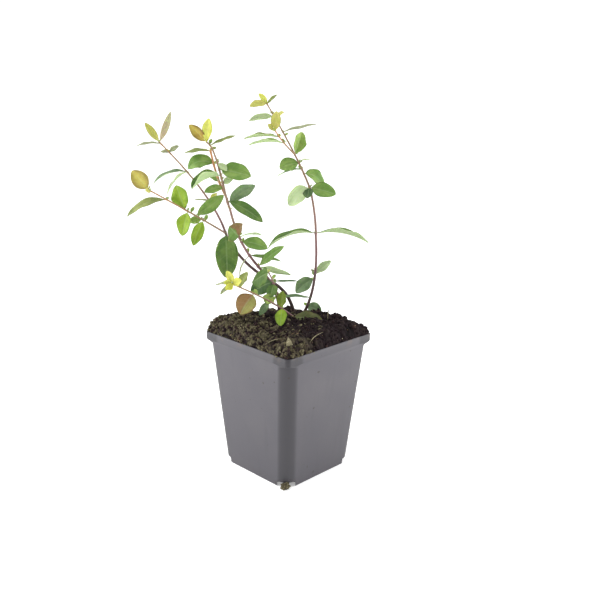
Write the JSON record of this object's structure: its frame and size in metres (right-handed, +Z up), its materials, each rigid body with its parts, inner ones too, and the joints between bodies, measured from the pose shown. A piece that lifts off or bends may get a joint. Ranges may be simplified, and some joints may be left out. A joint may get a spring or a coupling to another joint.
{
  "type": "potted hypericum shrub",
  "caption": "Young leafy shrub with thin arching stems and paired oval leaves, growing from mounded soil in a tapered square nursery pot.",
  "frame": {"origin": "middle of the pot's flat underside, on the surface that the pot stands on", "axes": "+Z up, with the pot's faces square to X and Y; the picture looks over the corner between -X and -Y"},
  "size_m": [0.1507, 0.1525, 0.281],
  "materials": {
    "pot_plastic": "matt grey moulded plastic",
    "soil": "moist dark brown crumbs",
    "bark": "smooth red-brown bark",
    "leaf_green": "satin mid green leaves",
    "leaf_deep": "satin dark green leaves",
    "leaf_gold": "satin yellow-green young leaves"
  },
  "bodies": {
    "root": {"pot": "pot_plastic", "soil": "soil", "right_cane": "bark", "left_cane": "bark", "middle_cane": "bark", "right_pair": "leaf_deep", "right_crown": "leaf_green", "right_side_shoot": "leaf_gold", "right_foot_shoot": "leaf_deep", "left_crown": "leaf_green", "left_side_shoot": "leaf_green", "middle_leaves": "leaf_deep", "middle_crown": "leaf_green", "middle_side_shoot": "leaf_green", "low_shoot": "leaf_gold", "low_tuft": "leaf_deep"}
  },
  "joints": []
}
